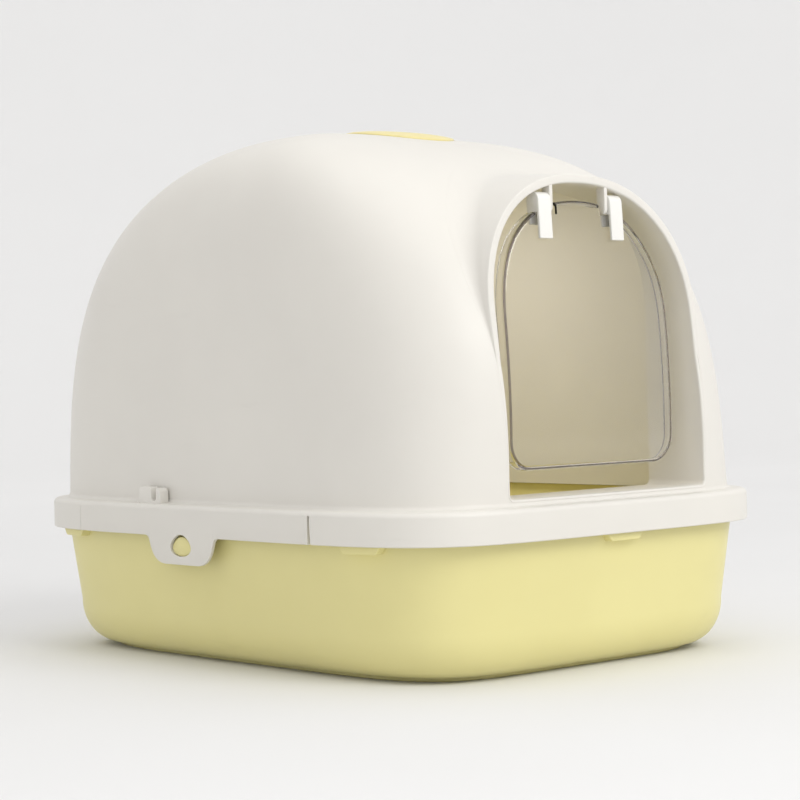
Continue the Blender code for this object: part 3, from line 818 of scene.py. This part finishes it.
def tray_shell(materials):
    """The tray: foot, rounded lower edge, sloping wall and rim, and back down inside."""
    outer = [(0.0, FOOT_INSET + 0.0012), (0.0006, FOOT_INSET + 0.0003), (FOOT_HEIGHT, FOOT_INSET)]
    for share in np.sin(np.linspace(math.pi / 2, 0, 19)):
        z = BEND_TOP - share * (BEND_TOP - FOOT_HEIGHT)
        outer.append((z, bend_inset(z)))
    slope = UPPER_INSET - BEND_INSET
    outer += [(0.060, BEND_INSET + slope * 0.313), (0.085, BEND_INSET + slope * 0.653),
              (0.1105, UPPER_INSET), (0.1105, RIM_INSET), (TRAY_RIM_TOP, RIM_INSET)]
    inner = [(TRAY_RIM_TOP, UPPER_INSET + TRAY_WALL), (BEND_TOP, BEND_INSET + TRAY_WALL)]
    for share in np.sin(np.linspace(0, math.pi / 2, 15))[1:]:
        z = BEND_TOP - share * (BEND_TOP - FOOT_HEIGHT)
        inner.append((z + share * (TRAY_FLOOR - FOOT_HEIGHT), bend_inset(z) + TRAY_WALL))
    rings = [box_ring(inset, z, tray_power(z)) for z, inset in outer + inner]
    tray = mesh_object("tray_shell", loft(rings), materials["tray"])
    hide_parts("tray")
    return tray


def rest_pad(name, centre, along, outward, materials):
    """A raised trapezoid on the tray's wall, just showing below the skirt."""
    outline = rounded([
        (-0.0140, 0.0895, 0.0016), (0.0140, 0.0895, 0.0016), (0.0185, 0.0955, 0.0020),
        (0.0185, 0.104, 0), (-0.0185, 0.104, 0), (-0.0185, 0.0955, 0.0020),
    ])
    sections = []
    for depth in (-0.0125, -0.0046):
        base = centre + outward * depth
        sections.append([base + along * a + Vector((0, 0, z)) for a, z in outline])
    pad = mesh_object(name, loft(sections), materials["tray"])
    soften(pad, 0.0006)
    return pad


def catch(name, side, materials):
    """The tray's raised catch, which fills the latch hole from behind."""
    reach = HALF_WIDTH - 0.0011
    outline = egg(HOLE_HALF_LENGTH - 0.0009, HOLE_HALF_HEIGHT - 0.0010)
    centre_z = HOLE_CENTRE_Z - 0.0006
    steps = ((HALF_WIDTH - 0.0125, 1.0), (reach - 0.0012, 1.0), (reach - 0.0004, 0.975), (reach, 0.92))
    rings = []
    for out, shrink in steps:
        rings.append([(side * out, TAB_CENTRE_Y + a * shrink, centre_z + b * shrink)
                      for a, b in outline])
    return mesh_object(name, loft(rings), materials["tray"], 60)


def tray_details(materials):
    """Six rest pads round the tray, and a catch behind each latch."""
    pieces = []
    for side, side_name in ((-1, "left"), (1, "right")):
        for end, end_name in ((-1, "front"), (1, "back")):
            turn = Matrix.Rotation(side * end * SIDE_PAD_TURN, 3, "Z")
            centre = Vector((side * skirt_x(SIDE_PAD_Y), end * SIDE_PAD_Y, 0))
            pieces.append(rest_pad("rest_pad_%s_%s" % (side_name, end_name), centre,
                                   turn @ Vector((0, 1, 0)), turn @ Vector((side, 0, 0)),
                                   materials))
        end_name = "front" if side < 0 else "back"
        pieces.append(rest_pad("rest_pad_" + end_name, Vector((0.004, side * HALF_LENGTH, 0)),
                               Vector((1, 0, 0)), Vector((0, side, 0)), materials))
        pieces.append(catch("catch_" + side_name, side, materials))
    return pieces


# ---------------------------------------------------------------- door

def bow(z):
    """How far the door's pane curves forward at a height in the frame of its hinge."""
    share = (z - DOOR_BOTTOM) / (-DOOR_BOTTOM - CLIP_FRONT_LEG)
    return 4 * DOOR_BOW * share * (1 - share) if share < 1 else 0.0


def door_ring(inset, y, steps=30):
    """The door's outline in the frame of its hinge: rounded foot, straight sides, low arch."""
    half = DOOR_HALF_WIDTH - inset
    corner = max(DOOR_CORNER - inset, 0.004)
    foot = DOOR_BOTTOM + inset
    outline = []
    for i in range(13):
        angle = math.radians(-90 + 7.5 * i)
        across = half - corner + corner * math.cos(angle)
        outline.append((across, foot + corner + corner * math.sin(angle)))
    low = foot + corner
    outline += [(half, low + (DOOR_SPRING - low) * i / 16) for i in range(1, 16)]
    start = len(outline)
    outline += arch(half, DOOR_RISE - inset, DOOR_SPRING, DOOR_POWER, steps)
    outline += [(-x, z) for x, z in reversed(outline[:start])]
    return [Vector((x, y - bow(z), z)) for x, z in outline]


def at_hinge(thing):
    """Moves a piece made in the frame of the hinge to where it hangs at rest."""
    place = Matrix.Translation(PIVOT) @ Matrix.Rotation(-DOOR_LEAN, 4, "X")
    thing.data.transform(place)
    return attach(thing, "door")


def paint_edge_shade(builder, count):
    """Gives the strips round the door's two edges the second, dark material: painted shade standing in
    for the dark lines that refraction draws along a clear edge.
    """
    builder.faces.ensure_lookup_table()
    for strip in (2, 3, 7, 8):
        for face in builder.faces[strip * count:(strip + 1) * count]:
            face.material_index = 1


def door_panel(materials):
    """The clear dish: a bowed pane with a rounded edge that turns back into a rim."""
    inner = PANEL_THICKNESS
    rim = DOOR_FRONT + DOOR_RIM_DEPTH
    rings = []
    radius = DOOR_EDGE_RADIUS
    for i in range(7):
        angle = math.pi / 2 * i / 6
        y = DOOR_FRONT + radius - radius * math.cos(angle)
        rings.append(door_ring(radius - radius * math.sin(angle), y))
    rings.append(door_ring(0.0, rim - DOOR_RIM_ROUNDING))
    rings.append(door_ring(DOOR_RIM_ROUNDING, rim))
    rings.append(door_ring(inner - 0.0004, rim))
    rings.append(door_ring(inner, rim - DOOR_RIM_ROUNDING))
    radius = DOOR_INNER_RADIUS
    for i in range(6):
        angle = math.pi / 2 * i / 5
        rings.append(door_ring(inner + radius - radius * math.cos(angle),
                               DOOR_FRONT + inner + radius - radius * math.sin(angle)))
    builder = mirrored_loft(rings)
    # painted shade: the strips along the door's edges take the dark tinted clear plastic
    paint_edge_shade(builder, len(rings[0]))
    door = mesh_object("clear_door", builder, materials["door"])
    door.data.materials.append(materials["painted door edge shade"])
    notches = []
    for side in (-1, 1):
        ends = sorted((side * 0.0218, side * (CLIP_CENTRE_X + CLIP_WIDTH / 2 + 0.0005)))
        behind = CLIP_GAP / 2 - 0.0004
        outline = [(-0.02, -0.005), (behind, -0.005), (behind, -0.0135), (0.02, -0.0135),
                   (0.02, 0.02), (-0.02, 0.02)]
        notches.append(bar_along_x(outline, *ends))
    carve(door, notches)
    at_hinge(door)
    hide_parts("door_panel")
    return door


def door_clip(name, side, node, materials):
    """An arch over the door's edge, closed round its pin, with a longer leg in front."""
    outline = []
    for i in range(25):
        angle = math.pi * i / 24
        outline.append((CLIP_RADIUS * math.cos(angle), CLIP_HEAD + CLIP_RADIUS * math.sin(angle)))
    half_gap = CLIP_GAP / 2
    web = -0.0040
    outline += [(-CLIP_RADIUS, -CLIP_FRONT_LEG), (-half_gap, -CLIP_FRONT_LEG), (-half_gap, web),
                (half_gap, web), (half_gap, -CLIP_REAR_LEG), (CLIP_RADIUS, -CLIP_REAR_LEG)]
    centre = CLIP_CENTRE_X * side
    body = bar_along_x(outline, centre - CLIP_WIDTH / 2, centre + CLIP_WIDTH / 2)
    clip = mesh_object(name, body, materials["clip"])
    inner = centre - side * (CLIP_WIDTH / 2 + 0.001)
    deep = centre - side * (CLIP_WIDTH / 2 - 0.0052)
    bore = disc_points(0, 0, PIN_RADIUS + PIN_GAP, 28)
    carve(clip, [bar_along_x(bore, *sorted((inner, deep)))])
    soften(clip, 0.0006)
    at_hinge(clip)
    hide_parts(node)
    return clip


# ---------------------------------------------------------------- filter

def filter_cover(materials):
    """The yellow round cover, which follows the dome."""
    low = -RECESS_DEPTH + FIT_GAP + PAD_THICKNESS + FIT_GAP
    disc = top_disc(COVER_RADIUS, low, COVER_PROUD, COVER_BULGE, edge=0.0012)
    cover = mesh_object("yellow_cover", disc, materials["cover"])
    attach(cover, "filter_cover")
    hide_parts("filter_cover")
    return cover


# ---------------------------------------------------------------- studio

def studio():
    """A round pale floor that curves up into a wall all round."""
    flat = 3.4
    bend = 1.6
    profile = [(0.001, 0.0)] + [(r, 0.0) for r in np.linspace(0.3, flat, 12)]
    for i in range(1, 13):
        angle = math.pi / 2 * i / 12
        profile.append((flat + bend * math.sin(angle), bend - bend * math.cos(angle)))
    profile.append((flat + bend, 3.0))
    builder = bmesh.new()
    turns = [2 * math.pi * i / 96 for i in range(96)]
    stitch(builder, [[(r * math.cos(t), r * math.sin(t), z) for t in turns] for r, z in profile])
    floor = mesh_object("studio_floor", builder, studio_floor(), 60)


def area_light(name, place, aim, size, power, colour=(1, 1, 1)):
    data = bpy.data.lights.new(name, "AREA")
    data.shape = "DISK"
    data.size = size
    data.energy = power
    data.color = colour
    lamp = bpy.data.objects.new(name, data)
    bpy.context.scene.collection.objects.link(lamp)
    lamp.location = place
    lamp.rotation_euler = (Vector(aim) - Vector(place)).to_track_quat("-Z", "Y").to_euler()
    return lamp


def lighting():
    """A soft key from the front, a wide top light, and a warm glow for light through the hood."""
    area_light("Key", (0.2, -2.4, 1.8), (0, 0, 0.15), 1.6, 29)
    area_light("Top", (-0.1, -0.2, 2.6), (0, 0, 0.2), 2.4, 8)
    cabin = area_light("Cabin Glow", (0, 0.02, 0.365), (0, 0.02, 0), 0.16, 0.41, (1.0, 0.95, 0.85))
    cabin.visible_camera = False
    cabin.visible_transmission = False
    cabin.visible_glossy = False
    world = bpy.data.worlds.new("Studio World")
    world.use_nodes = True
    world.node_tree.nodes["Background"].inputs["Color"].default_value = (1.0, 0.99, 0.98, 1)
    world.node_tree.nodes["Background"].inputs["Strength"].default_value = 0.86
    bpy.context.scene.world = world


def camera():
    """A long lens from the front left, almost level with the box."""
    az, el, roll = CAMERA_AZIMUTH, CAMERA_ELEVATION, CAMERA_ROLL
    right = Vector((math.cos(az), math.sin(az), 0))
    forward = Vector((-math.sin(az) * math.cos(el), math.cos(az) * math.cos(el), -math.sin(el)))
    up = right.cross(forward)
    place = right * AIM_ACROSS + Vector((0, 0, AIM_HEIGHT)) - forward * CAMERA_DISTANCE
    across = right * math.cos(roll) + up * math.sin(roll)
    above = up * math.cos(roll) - right * math.sin(roll)
    turn = Matrix((across, above, -forward)).transposed().to_4x4()
    data = bpy.data.cameras.new("Camera")
    data.lens = CAMERA_LENS
    data.sensor_width = 36
    data.clip_end = 50
    shot = bpy.data.objects.new("Camera", data)
    bpy.context.scene.collection.objects.link(shot)
    shot.matrix_world = Matrix.Translation(place) @ turn
    bpy.context.scene.camera = shot


# ---------------------------------------------------------------- the whole scene

def main():
    materials = all_materials()
    fixed_to_hood = [hood_shell(materials), doorway_collar(materials), scoop_holder(materials),
                     door_bearing("door_bearing_left", -1, materials),
                     door_bearing("door_bearing_right", 1, materials)]
    for piece in fixed_to_hood:
        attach(piece, "hood")
    for piece in [tray_shell(materials)] + tray_details(materials):
        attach(piece, "tray")
    latch_flap("latch_left_flap", -1, materials)
    latch_flap("latch_right_flap", 1, materials)
    door_panel(materials)
    door_clip("clip_left", -1, "door_clip_left", materials)
    door_clip("clip_right", 1, "door_clip_right", materials)
    filter_cover(materials)
    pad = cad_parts["filter_pad"]
    pad.data.materials.clear()
    pad.data.materials.append(materials["pad"])
    studio()
    lighting()
    camera()
    bpy.context.scene.view_settings.view_transform = "Standard"


main()
